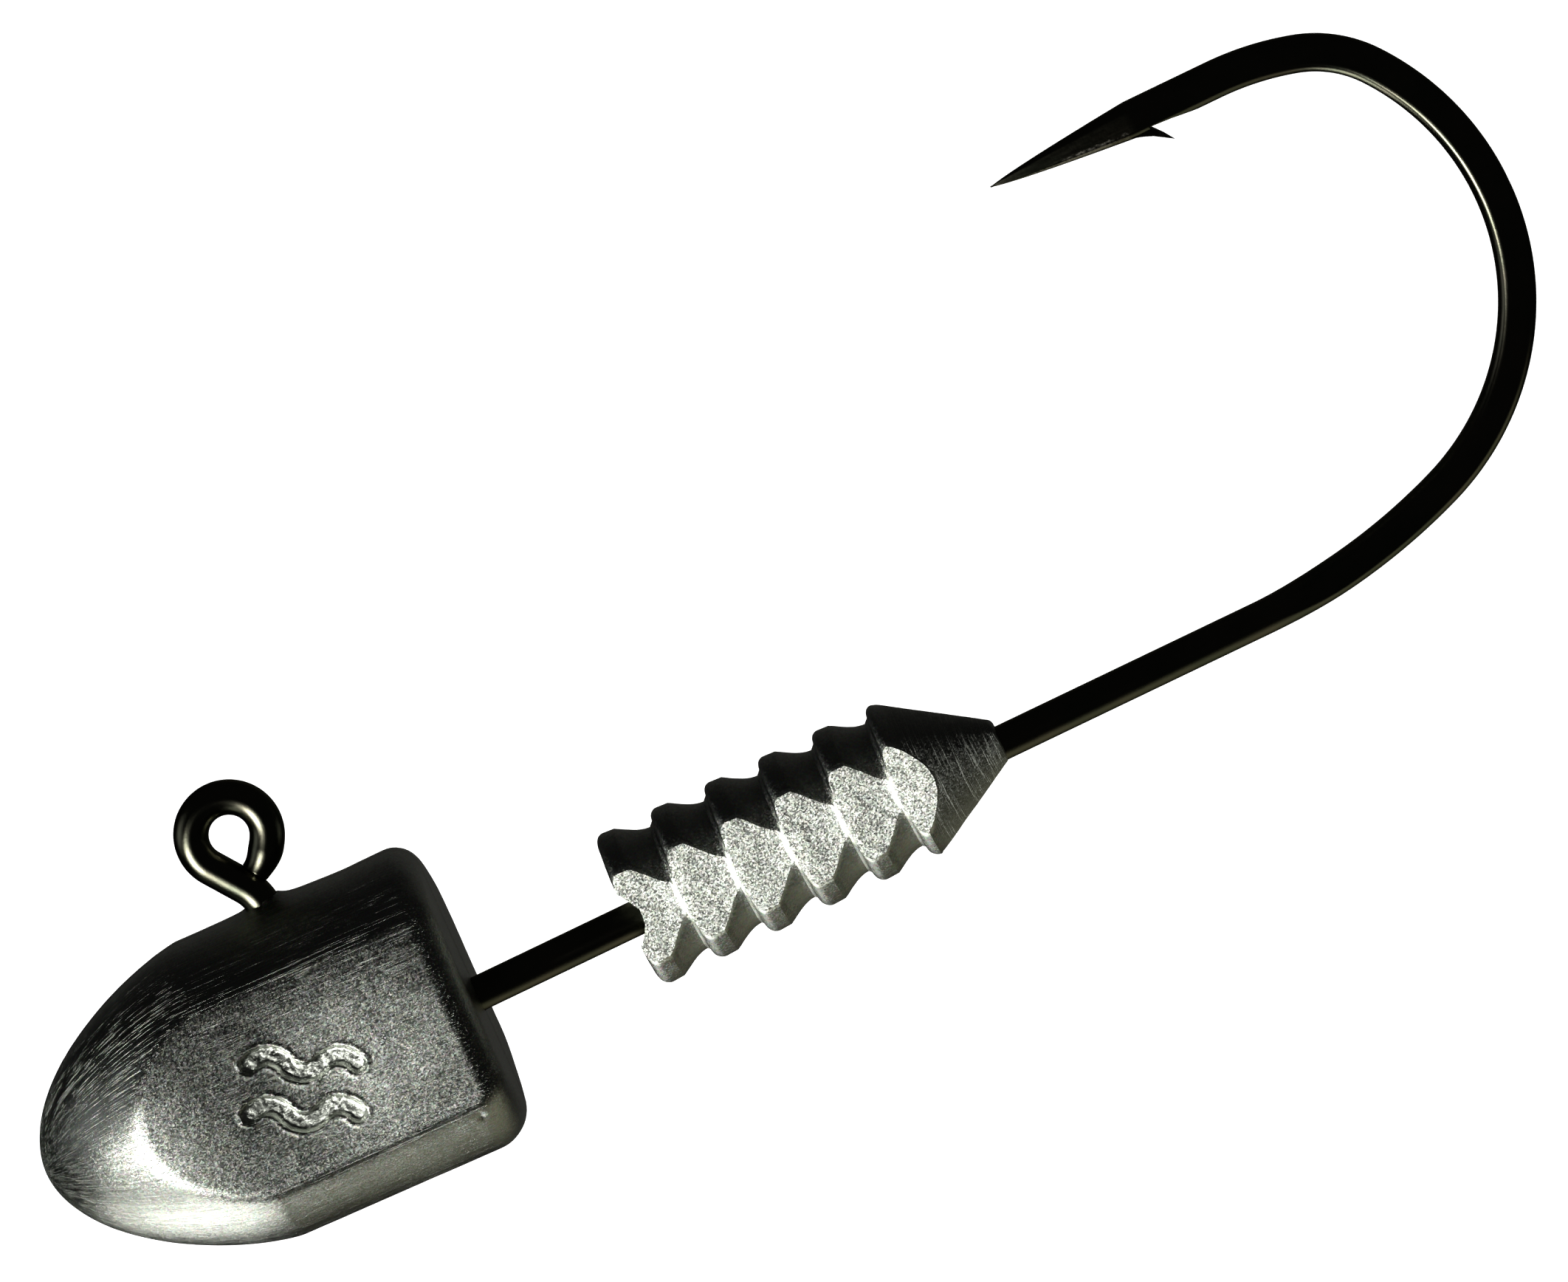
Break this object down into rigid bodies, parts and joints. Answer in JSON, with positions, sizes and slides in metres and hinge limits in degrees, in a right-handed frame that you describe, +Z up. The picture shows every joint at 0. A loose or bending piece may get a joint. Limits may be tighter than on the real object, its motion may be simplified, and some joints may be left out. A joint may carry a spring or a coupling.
{
  "type": "jig head",
  "caption": "Lead jig head: a bullet-shaped weight flattened on two sides, with a line eye, a ribbed grub keeper on the shank and a forged, barbed hook.",
  "frame": {"origin": "under the middle of the whole part's box, on the surface that the weight's flat side lies on", "axes": "+X along the shank from the weight to the bend, +Y towards the eye and the point, +Z up from the flat side"},
  "size_m": [0.0734, 0.0284, 0.011],
  "materials": {
    "cast_head": "satin",
    "hook_wire": "gloss",
    "cast_keeper": "matte"
  },
  "bodies": {
    "root": {"head": "cast_head", "hook": "hook_wire", "keeper": "cast_keeper"}
  },
  "joints": []
}
